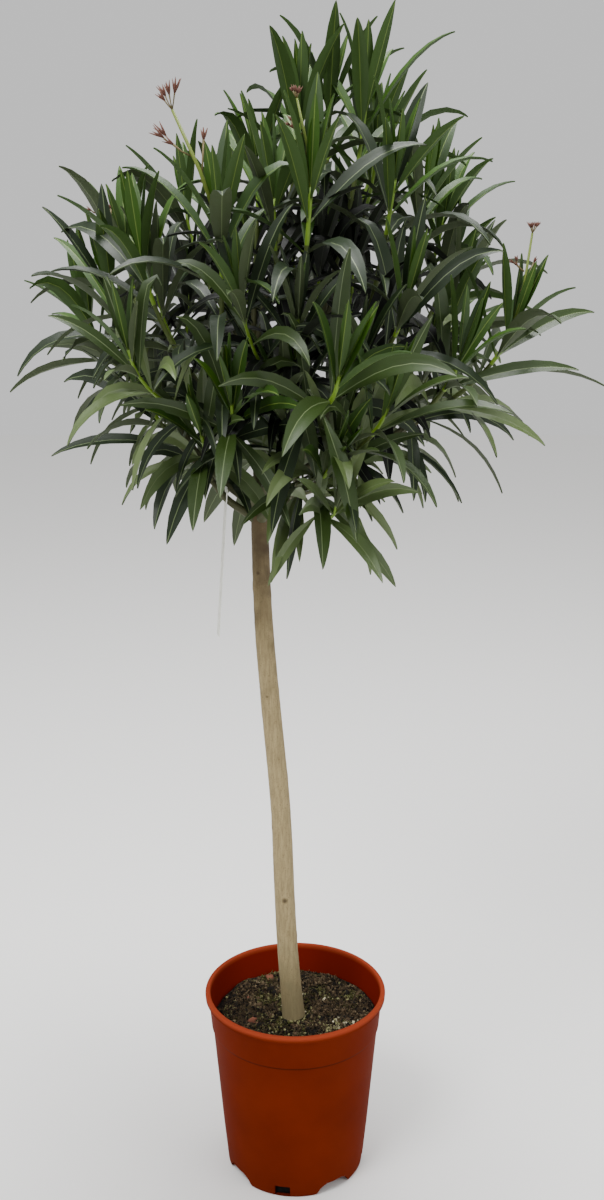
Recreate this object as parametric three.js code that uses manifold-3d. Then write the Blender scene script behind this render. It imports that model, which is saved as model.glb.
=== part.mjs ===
// An oleander grown as a standard: a bare stem with a round leafy head, standing in a moulded plastic
// nursery pot. Millimetres, +Z up. The origin is on the ground, under the middle of the pot.
import * as THREE from "three";
import { mergeVertices } from "three/addons/utils/BufferGeometryUtils.js";
import Module from "manifold-3d";

const wasm = await Module();
wasm.setup();

const gap = 0.3; // between pieces that touch
const up = new THREE.Vector3(0, 0, 1);

// ---- Driving sizes ------------------------------------------------------------------------------

const pot = {
  height: 236,
  rimRadius: 110, // outside of the rolled lip
  lipHeight: 9,
  neckRadius: 106.5, // outside, just under the lip
  ledgeDrop: 46, // stacking ledge, below the top
  ledgeStep: 1.6,
  footRadius: 86.5, // outside, at the ground
  footRound: 7, // height of the rounded bottom corner
  wall: 2,
  floorLift: 17, // underside of the floor, above the ground
  floor: 2.5,
  footWall: 5, // width of the ring that the pot stands on
  sides: 48,
};

const arches = { count: 4, first: 34.4, width: 34, height: 14 }; // openings in the foot, degrees and mm
const drains = { width: 19, sill: 1.2, height: 15.5 }; // square windows, one in the middle of each foot

const soil = { top: 200, relief: 5, rings: 5, sides: 24, seed: 11 };

// The stem, as points of its middle line from the flat cut at soil level to the fork.
const stemLine = [
  [-2, -7, soil.top],
  [-9.6, -6, 299],
  [-17.6, -4, 483],
  [-28.2, -3, 607],
  [-35.3, -2, 702],
  [-38.5, -1, 800],
  [-40, 0, 852],
];
const stem = { footRadius: 14.2, flare: 18, lowRadius: 13.2, topRadius: 9.2, steps: 12, sides: 12 };

// A bough ends at a share of the way out from the stem to the middle of its shoots' tips, and at a
// share of the climb. Its shoots start there and turn upright.
const bough = { radius: 4.9, tipRadius: 3.9, sides: 6, steps: 4, outShare: 0.42, climbShare: 0.26 };
const shoot = {
  radius: 3,
  tipRadius: 1.7,
  steps: 6,
  sides: 3,
  forkAt: 14,
  rise: 1.9, // how much of its last direction is upright, in a tall head
  leastRise: 0.35, // share of that in the lowest heads
  lowTip: 860, // height from which the rise grows, over the next 200 mm
};

// Leaves stand in threes at joints that are crowded at a shoot's tip and spaced out lower down. Young
// leaves stand up along the shoot, and older ones lean out and hang.
const leaf = {
  full: 142, // length of a grown leaf
  width: 0.2, // of its length, at the middle
  thickness: 0.013, // of its length
  joints: [1, 2, 3, 4, 5, 6, 7],
  tries: [1, 0.85, 0.7, 0.5, 0.44], // shares of its length, of which the first that keeps to its space is grown
  firstSpacing: 12,
  addedSpacing: 8,
  mostSpacing: 36,
  firstAngle: 10,
  addedAngle: 17,
  mostAngle: 68,
  bearingScatter: 40,
  angleScatter: 28,
  rollScatter: 36,
  lift: 0.22, // how far every leaf turns up to the light
  firstDroop: 0.03,
  addedDroop: 0.42,
  mostDroop: 2,
  droopPower: 1.9, // a leaf bends most toward its tip
  shortening: 0.035, // share of its length by which each older leaf is shorter
  firstFall: 3, // joint below which some leaves have fallen
  fallShare: 0.08, // share that has fallen, more by as much at each joint
  pieces: 8, // steps in which its curve is worked out
};

// Each head of leaves has a bough of its own, and shoots that end at [bearing in degrees, distance
// from the axis of the pot, height above the ground]. Then come the last joint that still has leaves
// and the seed of the shoot. The heads are listed from the lowest bough up.
const heads = {
  low_left: [[237, 168, 936, 8, 6869], [197, 161, 957, 6, 5999], [146, 219, 1002, 7, 3692]],
  front_low: [[281, 176, 907, 7, 3733], [295, 212, 970, 9, 4639], [267, 143, 971, 6, 1936]],
  back_low: [[68, 131, 933, 8, 6076], [104, 205, 874, 6, 1474], [109, 264, 967, 6, 7818]],
  right_low: [[347, 232, 1034, 8, 8832], [327, 198, 1005, 7, 5957], [11, 181, 1055, 8, 4418]],
  left: [[197, 198, 1075, 8, 1583], [161, 197, 1113, 6, 1564], [165, 240, 1043, 9, 1538]],
  front_left: [[248, 182, 1138, 8, 6144], [253, 200, 973, 7, 1824], [220, 193, 1105, 7, 3324]],
  right_back: [[39, 230, 1092, 8, 3820], [44, 240, 1023, 8, 629], [43, 238, 1148, 8, 3919]],
  front: [[276, 158, 1172, 8, 4306], [280, 242, 1005, 8, 21], [259, 100, 1162, 8, 4615]],
  back: [[77, 215, 1140, 8, 5713], [115, 194, 1158, 7, 7446], [61, 191, 1226, 6, 2437]],
  upper_right: [[322, 127, 1180, 9, 6802], [13, 144, 1166, 6, 7164], [308, 177, 1065, 8, 7052]],
  upper_left: [[80, 39, 1248, 7, 7257], [127, 65, 1202, 7, 1420], [136, 170, 1150, 7, 7954]],
  top: [[14, 77, 1259, 6, 2048], [57, 71, 1265, 7, 5480], [47, 132, 1208, 7, 250]],
};
const roots = { low: 776, spacing: 6.6 }; // of the boughs, on the stem

// What is left of the flowers: a forked stalk on from the tip of a few shoots, with narrow bracts.
const stalks = [
  { head: "front_left", shoot: 0, reach: [-42, 0, 101] },
  { head: "left", shoot: 1, reach: [-35, 0, 53] },
  { head: "right_low", shoot: 0, reach: [16, 0, 95] },
  { head: "front", shoot: 0, reach: [-13, 0, 78] },
];
const stalk = {
  radius: 1.6,
  tipRadius: 1.2,
  sink: 5,
  forkAt: 0.4,
  forkShare: 0.6,
  bracts: 3, // at each end
  bract: 18, // length
  bractRoot: 0.7,
  bractEnd: 1.6,
};

// A plastic strip without any lettering hangs on the lowest bough by a slot near its top.
const label = { width: 14, length: 170, thickness: 0.9, along: 0.83, above: 4, corner: 3, lean: 4 };

// ---- Helpers ------------------------------------------------------------------------------------

// Numbers from 0 to 1, the same on every run.
function seededRandom(seed) {
  let state = seed;
  return () => {
    state = (state * 16807) % 2147483647;
    return state / 2147483647;
  };
}

const radians = (degrees) => (degrees * Math.PI) / 180;

function solidOf(geometry) {
  const bare = geometry.clone();
  bare.deleteAttribute("normal");
  bare.deleteAttribute("uv");
  const merged = mergeVertices(bare, 1e-4);
  return new wasm.Manifold(
    new wasm.Mesh({
      numProp: 3,
      vertProperties: merged.attributes.position.array,
      triVerts: new Uint32Array(merged.index.array),
    }),
  );
}

function geometryOf(solid) {
  const { vertProperties, triVerts } = solid.getMesh();
  const geometry = new THREE.BufferGeometry();
  geometry.setAttribute("position", new THREE.BufferAttribute(vertProperties, 3));
  geometry.setIndex(new THREE.BufferAttribute(triVerts, 1));
  return geometry;
}

function cylindrical([bearing, out, height]) {
  const angle = radians(bearing);
  return new THREE.Vector3(out * Math.cos(angle), out * Math.sin(angle), height);
}

function closedGeometry(points, triangles) {
  const geometry = new THREE.BufferGeometry();
  const numbers = points.flatMap((point) => point.toArray());
  geometry.setAttribute("position", new THREE.Float32BufferAttribute(numbers, 3));
  geometry.setIndex(triangles);
  return geometry;
}

// A tapering limb along a curve, closed by flat ends. radiusAt takes the share of the way along.
function limbGeometry(curve, radiusAt, sides, steps) {
  const points = [];
  const triangles = [];
  let side = new THREE.Vector3(0.3, 1, 0.2);
  for (let i = 0; i <= steps; i++) {
    const t = i / steps;
    const middle = curve.getPoint(t);
    const along = curve.getTangent(t);
    side = side.clone().addScaledVector(along, -side.dot(along)).normalize();
    const other = along.clone().cross(side);
    for (let k = 0; k < sides; k++) {
      const angle = (2 * Math.PI * k) / sides;
      const point = middle.clone();
      point.addScaledVector(side, radiusAt(t) * Math.cos(angle));
      point.addScaledVector(other, radiusAt(t) * Math.sin(angle));
      points.push(point);
    }
  }
  const ring = (i, k) => i * sides + (k % sides);
  for (let i = 0; i < steps; i++) {
    for (let k = 0; k < sides; k++) {
      triangles.push(ring(i, k), ring(i, k + 1), ring(i + 1, k));
      triangles.push(ring(i, k + 1), ring(i + 1, k + 1), ring(i + 1, k));
    }
  }
  for (let k = 1; k < sides - 1; k++) {
    triangles.push(ring(0, 0), ring(0, k + 1), ring(0, k));
    triangles.push(ring(steps, 0), ring(steps, k), ring(steps, k + 1));
  }
  return closedGeometry(points, triangles);
}

// ---- Pot and soil -------------------------------------------------------------------------------

function potWallRadius(height) {
  const ledge = pot.height - pot.ledgeDrop;
  const slope = (pot.neckRadius - pot.footRadius) / pot.height;
  return pot.footRadius + slope * height - (height < ledge ? pot.ledgeStep : 0);
}

// The inside runs on straight from the stacking ledge to the lip.
function potInnerRadius(height) {
  const ledge = pot.height - pot.ledgeDrop - 1;
  if (height <= ledge) return potWallRadius(height) - pot.wall;
  const share = (height - ledge) / (pot.height - 1.5 - ledge);
  const widening = potWallRadius(pot.height) - potWallRadius(ledge);
  return potWallRadius(ledge) - pot.wall + widening * share;
}

function potGeometry() {
  const { height, rimRadius, lipHeight, wall, floorLift, floor, footRound, footWall } = pot;
  const ledge = height - pot.ledgeDrop;
  const neck = height - lipHeight;
  const outside = [
    [potWallRadius(0) - footRound * 0.4, 0],
    [potWallRadius(footRound), footRound],
    [potWallRadius(ledge - 1), ledge - 1],
    [potWallRadius(ledge), ledge + 1],
    [potWallRadius(neck), neck],
    [rimRadius, neck + 2.5],
    [rimRadius, height - 2.5],
    [rimRadius - 2.5, height],
  ];
  const inside = [
    [potWallRadius(height) - wall, height - 1.5],
    [potWallRadius(ledge - 1) - wall, ledge - 1],
    [potWallRadius(floorLift + floor) - wall, floorLift + floor],
    [0, floorLift + floor],
    [0, floorLift],
    [potWallRadius(0) - footWall - 4, floorLift],
    [potWallRadius(0) - footWall - 3, 0],
  ];
  const profile = [...outside, ...inside, outside[0]].map(([x, y]) => new THREE.Vector2(x, y));
  return new THREE.LatheGeometry(profile, pot.sides).rotateX(Math.PI / 2);
}

// A round-shouldered opening in the foot, as a block that is cut away.
function archCutter(width, height, shoulder, bearing) {
  const shape = new THREE.Shape();
  shape.moveTo(-width / 2 - shoulder, -5);
  shape.lineTo(width / 2 + shoulder, -5);
  shape.lineTo(width / 2 + shoulder, 0);
  shape.bezierCurveTo(width / 2, 0, width / 2 + shoulder / 2, height, width / 2 - shoulder, height);
  shape.lineTo(-width / 2 + shoulder, height);
  shape.bezierCurveTo(-width / 2 - shoulder / 2, height, -width / 2, 0, -width / 2 - shoulder, 0);
  shape.closePath();
  const block = new THREE.ExtrudeGeometry(shape, { depth: 60, bevelEnabled: false, curveSegments: 5 });
  block.rotateX(Math.PI / 2).rotateZ(Math.PI / 2).translate(pot.footRadius - 30, 0, 0);
  return solidOf(block.rotateZ(radians(bearing)));
}

function drainCutter(bearing) {
  const block = new THREE.BoxGeometry(60, drains.width, drains.height - drains.sill);
  block.translate(pot.footRadius, 0, (drains.height + drains.sill) / 2);
  return solidOf(block.rotateZ(radians(bearing)));
}

function makePot() {
  let body = solidOf(potGeometry());
  for (let i = 0; i < arches.count; i++) {
    const bearing = arches.first + (360 * i) / arches.count;
    body = body.subtract(archCutter(arches.width, arches.height, 6, bearing));
    body = body.subtract(drainCutter(bearing + 180 / arches.count));
  }
  return geometryOf(body);
}

function makeSoil() {
  const random = seededRandom(soil.seed);
  const bottom = pot.floorLift + pot.floor + gap;
  const ledge = pot.height - pot.ledgeDrop - 1;
  const edgeAt = (height) => potInnerRadius(height) - gap - 0.4;
  const edge = edgeAt(soil.top);
  const profile = [new THREE.Vector2(0, bottom)];
  profile.push(new THREE.Vector2(edgeAt(bottom), bottom), new THREE.Vector2(edgeAt(ledge), ledge));
  for (let i = soil.rings; i >= 0; i--) {
    profile.push(new THREE.Vector2((edge * i) / soil.rings, soil.top));
  }
  const geometry = new THREE.LatheGeometry(profile, soil.sides).rotateX(Math.PI / 2);
  const merged = mergeVertices(stripped(geometry), 1e-3);
  const place = merged.attributes.position;
  for (let i = 0; i < place.count; i++) {
    const point = new THREE.Vector3().fromBufferAttribute(place, i);
    const lift = (random() - 0.35) * soil.relief;
    const open = Math.hypot(point.x, point.y) > stem.footRadius + 12;
    if (open && point.z > soil.top - 1) place.setZ(i, point.z + lift);
  }
  return merged;
}

function stripped(geometry) {
  geometry.deleteAttribute("normal");
  geometry.deleteAttribute("uv");
  return geometry;
}

// ---- Stem, boughs and heads of leaves -----------------------------------------------------------

const stemCurve = new THREE.CatmullRomCurve3(stemLine.map((p) => new THREE.Vector3(...p)));
const fork = stemCurve.getPoint(1);

function stemRadius(t) {
  const height = stemCurve.getPoint(t).z - soil.top;
  const flare = (stem.footRadius - stem.lowRadius) * Math.exp(-height / stem.flare);
  return stem.lowRadius + (stem.topRadius - stem.lowRadius) * Math.pow(t, 0.85) + flare;
}

// The stem runs on a little below the soil line and is then cut off flat at it.
function makeStem(extra = 0) {
  const below = stemCurve.getPoint(0).addScaledVector(stemCurve.getTangent(0), -8);
  const line = [below, ...stemLine.slice(1).map((p) => new THREE.Vector3(...p))];
  const curve = new THREE.CatmullRomCurve3(line);
  const radiusAt = (t) => stemRadius(t) + extra;
  const whole = solidOf(limbGeometry(curve, radiusAt, stem.sides, stem.steps));
  const block = new THREE.BoxGeometry(200, 200, 100).translate(0, 0, soil.top + gap - extra - 50);
  return whole.subtract(solidOf(block));
}

// The curved path of a bough, from the middle of the stem to where its head of leaves starts.
function boughCurve(tips, index) {
  const height = roots.low + roots.spacing * index;
  const t = (height - soil.top) / (fork.z - soil.top);
  const start = stemCurve.getPoint(Math.min(t, 0.995));
  const mean = tips.reduce((sum, tip) => sum.add(tip), new THREE.Vector3()).divideScalar(tips.length);
  const way = mean.sub(start);
  const outAndUp = new THREE.Vector3(bough.outShare, bough.outShare, bough.climbShare);
  const end = start.clone().add(way.clone().multiply(outAndUp));
  const reach = end.clone().sub(start);
  const heading = new THREE.Vector3(reach.x, reach.y, 0);
  const first = start.clone().addScaledVector(heading, 0.4).addScaledVector(up, reach.length() * 0.3);
  const last = end.clone().addScaledVector(way.normalize(), -reach.length() * 0.4);
  return new THREE.CubicBezierCurve3(start, first, last, end);
}

function shootCurve(start, heading, tip) {
  const span = tip.clone().sub(start);
  const tallness = Math.min(1, Math.max(shoot.leastRise, (tip.z - shoot.lowTip) / 200));
  const finish = tip.clone().sub(fork).normalize().addScaledVector(up, shoot.rise * tallness);
  finish.normalize();
  const first = start.clone().addScaledVector(heading, span.length() * 0.33);
  const last = tip.clone().addScaledVector(finish, -span.length() * 0.36);
  return new THREE.CubicBezierCurve3(start, first, last, tip);
}

// A point in the middle of a shoot as it is built, of straight lengths.
function middleOf(curve, t) {
  const step = Math.min(Math.floor(t * shoot.steps), shoot.steps - 1);
  const from = curve.getPoint(step / shoot.steps);
  const to = curve.getPoint((step + 1) / shoot.steps);
  return from.lerp(to, t * shoot.steps - step);
}

// How a shoot's leaves stand: where each is rooted, how it leaves the shoot, its length and droop.
function leafPlaces(curve, seed, joints) {
  const random = seededRandom(seed);
  const length = curve.getLength();
  const turn = random() * 360;
  const places = [];
  let back = 2;
  for (let joint = 0; joint <= 9; joint++) {
    if (joint > 0) {
      back += Math.min(leaf.mostSpacing, leaf.firstSpacing + leaf.addedSpacing * (joint - 1));
    }
    for (let k = 0; k < 3; k++) {
      const draws = [random(), random(), random(), random(), random()];
      const fallen = (draws[0] + draws[2]) % 1 < leaf.fallShare * (joint - leaf.firstFall);
      if (back > length - 6 || !joints.includes(joint) || fallen) continue;
      const t = curve.getUtoTmapping(1 - back / length);
      const angle = Math.min(leaf.firstAngle + leaf.addedAngle * joint, leaf.mostAngle);
      const share = Math.min(1, 0.55 + 0.22 * joint) * (1 - leaf.shortening * joint);
      const droop = Math.min(leaf.firstDroop + leaf.addedDroop * joint, leaf.mostDroop);
      places.push({
        root: middleOf(curve, t),
        axis: curve.getTangent(t),
        bearing: radians(turn + 60 * joint + 120 * k + leaf.bearingScatter * (draws[0] - 0.5)),
        angle: radians(angle + leaf.angleScatter * (draws[1] - 0.5)),
        length: leaf.full * share * (0.84 + 0.28 * draws[2]),
        droop: droop * (0.5 + draws[3]),
        roll: radians(leaf.rollScatter * (draws[4] - 0.5)),
      });
    }
  }
  return places;
}

// The curve of a leaf's midrib, with the direction across the blade, from its root to its tip.
function leafSpine(place) {
  const across = new THREE.Vector3(1, 0, 0);
  if (Math.abs(place.axis.x) > 0.9) across.set(0, 1, 0);
  const first = across.addScaledVector(place.axis, -across.dot(place.axis)).normalize();
  const second = place.axis.clone().cross(first);
  const outward = first.multiplyScalar(Math.cos(place.bearing));
  outward.addScaledVector(second, Math.sin(place.bearing));
  const start = place.axis.clone().multiplyScalar(Math.cos(place.angle));
  start.addScaledVector(outward, Math.sin(place.angle)).addScaledVector(up, leaf.lift).normalize();
  const side = place.axis.clone().cross(outward);
  side.addScaledVector(start, -side.dot(start)).normalize().applyAxisAngle(start, place.roll);
  const points = [place.root.clone()];
  for (let i = 0; i < leaf.pieces; i++) {
    const t = (i + 0.5) / leaf.pieces;
    const heading = start.clone().addScaledVector(up, -place.droop * t ** leaf.droopPower).normalize();
    points.push(points[i].clone().addScaledVector(heading, place.length / leaf.pieces));
  }
  return { points, side };
}

// A leaf as a closed body of six faces: a root inside the twig, a three-cornered middle and a tip.
function leafPoints(place) {
  const { points, side } = leafSpine(place);
  const middle = points[leaf.pieces / 2];
  const tip = points[leaf.pieces];
  const chord = tip.clone().sub(points[0]).normalize();
  const across = side.clone().addScaledVector(chord, -side.dot(chord)).normalize();
  const normal = across.clone().cross(chord);
  const half = (place.length * leaf.width) / 2;
  return [
    points[0],
    middle.clone().addScaledVector(across, half),
    middle.clone().addScaledVector(normal, place.length * leaf.thickness),
    middle.clone().addScaledVector(across, -half),
    tip,
  ];
}

const leafFaces = [[0, 2, 1], [0, 3, 2], [4, 1, 2], [4, 2, 3], [0, 1, 3], [4, 3, 1]];

function leafSolid(points) {
  const solid = solidOf(closedGeometry(points, leafFaces.flat()));
  if (solid.volume() > 0) return solid;
  return solidOf(closedGeometry(points, leafFaces.map(([a, b, c]) => [a, c, b]).flat()));
}

// A bract, as a slim body that widens to its blunt end.
function bractGeometry(from, heading) {
  const curve = new THREE.LineCurve3(from, from.clone().addScaledVector(heading, stalk.bract));
  return limbGeometry(curve, (t) => stalk.bractRoot + (stalk.bractEnd - stalk.bractRoot) * t, 3, 1);
}

function stalkParts(curve, reach) {
  const tip = curve.getPoint(1);
  const foot = tip.clone().addScaledVector(curve.getTangent(1), -stalk.sink);
  const top = tip.clone().add(reach);
  const split = foot.clone().lerp(top, stalk.forkAt);
  const length = reach.length();
  const branch = reach.clone().normalize().add(new THREE.Vector3(0.45, 0.3, 0.3)).normalize();
  const second = split.clone().addScaledVector(branch, length * (1 - stalk.forkAt) * stalk.forkShare);
  const radiusAt = (t) => stalk.radius + (stalk.tipRadius - stalk.radius) * t;
  const parts = [[foot, top], [split, second]].map(([from, to]) =>
    solidOf(limbGeometry(new THREE.LineCurve3(from, to), radiusAt, 3, 1)),
  );
  [top, second].forEach((end, fork) => {
    const along = end.clone().sub(fork === 0 ? foot : split).normalize();
    for (let k = 0; k < stalk.bracts; k++) {
      const angle = radians((360 * k) / stalk.bracts + 40 * fork);
      const lean = new THREE.Vector3(Math.cos(angle), Math.sin(angle), 0);
      const heading = along.clone().addScaledVector(up, 0.4).addScaledVector(lean, 0.6).normalize();
      parts.push(solidOf(bractGeometry(end.clone().addScaledVector(along, -1.5 - 3.5 * k), heading)));
    }
  });
  return parts;
}

// The strip hangs straight down, square across the bough that runs through its slot.
function makeLabel(path, radius) {
  const { width, length, thickness, along, above, corner } = label;
  const place = path.getPoint(along);
  const heading = path.getTangent(along);
  const stretch = 1 / Math.hypot(heading.x, heading.y);
  const slotHalf = radius * stretch + thickness * 2 + 2 * gap;
  const slotWidth = radius + 2 * gap;
  const top = slotHalf + above;
  const shape = new THREE.Shape();
  shape.moveTo(-width / 2, top - corner);
  shape.lineTo(-width / 2 + corner, top);
  shape.lineTo(width / 2 - corner, top);
  shape.lineTo(width / 2, top - corner);
  shape.lineTo(width / 2, top - length);
  shape.lineTo(-width / 2, top - length);
  shape.closePath();
  const slot = new THREE.EllipseCurve(0, 0, slotWidth, slotHalf, 0, 2 * Math.PI, false).getPoints(12);
  shape.holes.push(new THREE.Path(slot.slice(1)));
  const strip = new THREE.ExtrudeGeometry(shape, { depth: thickness, bevelEnabled: false });
  strip.translate(0, 0, -thickness / 2).rotateX(Math.PI / 2).rotateZ(Math.PI / 2);
  strip.rotateY(radians(-label.lean)).rotateZ(Math.atan2(heading.y, heading.x));
  return strip.translate(place.x, place.y, place.z);
}

// ---- Assembly -----------------------------------------------------------------------------------

const finishes = {
  pot: new THREE.MeshStandardMaterial({ color: 0x9c3413, roughness: 0.45, metalness: 0 }),
  soil: new THREE.MeshStandardMaterial({ color: 0x3a3024, roughness: 0.95, metalness: 0 }),
  bark: new THREE.MeshStandardMaterial({ color: 0x9c8f72, roughness: 0.85, metalness: 0 }),
  bough: new THREE.MeshStandardMaterial({ color: 0x4c5a26, roughness: 0.7, metalness: 0 }),
  foliage: new THREE.MeshStandardMaterial({ color: 0x2f4a24, roughness: 0.5, metalness: 0 }),
  label: new THREE.MeshStandardMaterial({ color: 0xe4e4da, roughness: 0.5, metalness: 0 }),
};

const plant = new THREE.Group();

function addPiece(name, geometry, finish) {
  const mesh = new THREE.Mesh(geometry, finish);
  mesh.name = name;
  plant.add(mesh);
  return mesh;
}

addPiece("pot", makePot(), finishes.pot);
addPiece("soil", makeSoil(), finishes.soil);
addPiece("stem", geometryOf(makeStem()), finishes.bark);

// What each head is made of, before any leaf: its bough, its shoots and the lines that mark its space.
const boughRadius = (t) => bough.radius + (bough.tipRadius - bough.radius) * t;
let taken = makeStem(gap + 0.05);
const grown = Object.entries(heads).map(([name, ends], index) => {
  const tips = ends.map(cylindrical);
  const path = boughCurve(tips, index);
  const limb = solidOf(limbGeometry(path, boughRadius, bough.sides, bough.steps)).subtract(taken);
  const wider = (t) => boughRadius(t) + gap + 0.05;
  taken = taken.add(solidOf(limbGeometry(path, wider, bough.sides, bough.steps)));
  const heading = path.getTangent(1);
  const start = path.getPoint(1).addScaledVector(heading, gap);
  const split = start.clone().addScaledVector(heading, shoot.forkAt);
  const curves = tips.map((tip) => shootCurve(split, heading, tip));
  const neck = new THREE.LineCurve3(start, split.clone().addScaledVector(heading, 3));
  return { name, ends, path, limb, neck, curves, lines: curves.map((c) => c.getPoints(10)) };
});

const lowest = grown[0].path;
addPiece("label", makeLabel(lowest, boughRadius(label.along)), finishes.label);
const labelLine = [20, -label.length].map((rise) => lowest.getPoint(label.along).addScaledVector(up, rise));

function awayFrom(point, lines) {
  let least = Infinity;
  const nearest = new THREE.Vector3();
  for (const line of lines) {
    for (let i = 1; i < line.length; i++) {
      new THREE.Line3(line[i - 1], line[i]).closestPointToPoint(point, true, nearest);
      least = Math.min(least, nearest.distanceTo(point));
    }
  }
  return least;
}

// A head's own space is what lies nearer to its shoots than to any other head's shoots or bough.
function keepsToSpace(points, head) {
  const margin = 0.8;
  return points.every((point) => {
    if (awayFrom(point, [labelLine]) < label.width) return false;
    const own = awayFrom(point, head.lines);
    return grown.every((other) => {
      if (other === head) return true;
      const theirs = awayFrom(point, [...other.lines, other.path.getPoints(5)]);
      return own + margin < theirs;
    });
  });
}

function samplesOf([root, left, , right, tip]) {
  const edges = [[root, left], [root, right], [left, tip], [right, tip]];
  return [left, right, tip, ...edges.map(([from, to]) => from.clone().lerp(to, 0.5))];
}

function largest(solid) {
  return solid.decompose().reduce((best, body) => (body.volume() > best.volume() ? body : best));
}

for (const head of grown) {
  addPiece("bough_" + head.name, geometryOf(largest(head.limb)), finishes.bough);
  const radiusAt = (t) => shoot.radius + (shoot.tipRadius - shoot.radius) * t;
  const parts = [solidOf(limbGeometry(head.neck, () => bough.tipRadius - 0.3, 6, 1))];
  head.curves.forEach((curve, k) => {
    parts.push(solidOf(limbGeometry(curve, radiusAt, shoot.sides, shoot.steps)));
    const flowered = stalks.find((item) => item.head === head.name && item.shoot === k);
    if (flowered) parts.push(...stalkParts(curve, new THREE.Vector3(...flowered.reach)));
    const [, , , lastJoint, seed] = head.ends[k];
    const joints = leaf.joints.filter((joint) => joint <= lastJoint && (joint > 1 || !flowered));
    for (const place of leafPlaces(curve, seed, joints)) {
      const sizes = leaf.tries.map((share) => leafPoints({ ...place, length: place.length * share }));
      const points = sizes.find((p) => keepsToSpace(samplesOf(p), head));
      if (points) parts.push(leafSolid(points));
    }
  });
  const joined = wasm.Manifold.union(parts).subtract(taken);
  addPiece("leaves_" + head.name, geometryOf(largest(joined)), finishes.foliage);
}

export default plant;
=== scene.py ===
import math

import bmesh
import bpy
import numpy as np
from mathutils import Matrix, Vector, noise


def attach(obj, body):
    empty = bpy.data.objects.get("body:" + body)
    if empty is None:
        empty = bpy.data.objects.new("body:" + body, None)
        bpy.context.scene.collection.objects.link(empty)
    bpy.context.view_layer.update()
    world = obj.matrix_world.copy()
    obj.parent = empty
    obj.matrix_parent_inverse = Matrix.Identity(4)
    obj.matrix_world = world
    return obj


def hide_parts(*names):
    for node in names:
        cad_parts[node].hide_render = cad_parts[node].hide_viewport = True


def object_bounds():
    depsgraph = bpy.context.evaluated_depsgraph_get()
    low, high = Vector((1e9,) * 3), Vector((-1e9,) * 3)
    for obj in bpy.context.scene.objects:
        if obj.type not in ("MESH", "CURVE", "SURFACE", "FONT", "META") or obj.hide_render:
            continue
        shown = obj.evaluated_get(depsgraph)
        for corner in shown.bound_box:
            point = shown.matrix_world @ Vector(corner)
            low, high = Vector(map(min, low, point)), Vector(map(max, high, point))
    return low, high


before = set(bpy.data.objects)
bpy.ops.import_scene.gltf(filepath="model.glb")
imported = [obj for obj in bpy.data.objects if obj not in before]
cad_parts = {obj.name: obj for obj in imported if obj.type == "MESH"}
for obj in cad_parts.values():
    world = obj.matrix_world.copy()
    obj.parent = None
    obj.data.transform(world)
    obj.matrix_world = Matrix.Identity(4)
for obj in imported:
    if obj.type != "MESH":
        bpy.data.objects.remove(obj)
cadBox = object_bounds()
scene = bpy.context.scene


# Colours are given as sRGB hex and turned to linear here.
def hexColour(text):
    channels = [int(text[i:i + 2], 16) / 255 for i in (0, 2, 4)]
    linear = [c / 12.92 if c <= 0.04045 else ((c + 0.055) / 1.055) ** 2.4 for c in channels]
    return (*linear, 1.0)


def addNode(tree, kind, settings=None, links=None):
    node = tree.nodes.new(kind)
    for name, value in (settings or {}).items():
        if isinstance(name, int) or name in node.inputs:
            node.inputs[name].default_value = value
        else:
            setattr(node, name, value)
    for name, source in (links or {}).items():
        tree.links.new(source, node.inputs[name])
    return node


# A new material with its shader and the place on the object that its patterns read, in metres.
def newMaterial(name, colour, roughness, specular=0.5):
    mat = bpy.data.materials.new(name)
    mat.use_nodes = True
    tree = mat.node_tree
    shader = tree.nodes["Principled BSDF"]
    shader.inputs["Base Color"].default_value = hexColour(colour)
    shader.inputs["Roughness"].default_value = roughness
    shader.inputs["Specular IOR Level"].default_value = specular
    return mat, tree, shader, addNode(tree, "ShaderNodeTexCoord").outputs["Object"]


def noiseNode(tree, place, scale, detail, roughness=0.5):
    settings = {"Scale": scale, "Detail": detail, "Roughness": roughness}
    return addNode(tree, "ShaderNodeTexNoise", settings, {"Vector": place}).outputs["Fac"]


def rangeNode(tree, value, fromMin, fromMax, toMin=0.0, toMax=1.0):
    settings = {"From Min": fromMin, "From Max": fromMax, "To Min": toMin, "To Max": toMax}
    return addNode(tree, "ShaderNodeMapRange", settings, {"Value": value}).outputs["Result"]


def mathNode(tree, operation, settings, links):
    return addNode(tree, "ShaderNodeMath", {"operation": operation, **settings}, links).outputs["Value"]


# A colour laid over another where the mask is 1.
def overlay(tree, mask, below, colour, blend="MIX"):
    settings = {"data_type": "RGBA", "blend_type": blend, 7: hexColour(colour)}
    return addNode(tree, "ShaderNodeMix", settings, {0: mask, 6: below}).outputs[2]


def addBump(tree, shader, height, strength, distance):
    bump = addNode(tree, "ShaderNodeBump", {"Strength": strength, "Distance": distance}, {"Height": height})
    tree.links.new(bump.outputs["Normal"], shader.inputs["Normal"])


def colourRamp(tree, stops, source):
    ramp = addNode(tree, "ShaderNodeValToRGB", None, {"Fac": source})
    elements = ramp.color_ramp.elements
    while len(elements) < len(stops):
        elements.new(0.5)
    for element, (place, colour) in zip(elements, stops):
        element.position = place
        element.color = hexColour(colour)
    return ramp.outputs["Color"]


# Numbers from 0 to 1, the same on every run and the same as the solids' own.
def seededRandom(seed):
    state = [seed]

    def draw():
        state[0] = state[0] * 16807 % 2147483647
        return state[0] / 2147483647
    return draw


def addObject(name, data):
    obj = bpy.data.objects.new(name, data)
    scene.collection.objects.link(obj)
    return obj


def meshFrom(bm, name):
    mesh = bpy.data.meshes.new(name)
    bm.to_mesh(mesh)
    bm.free()
    return mesh


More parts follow.
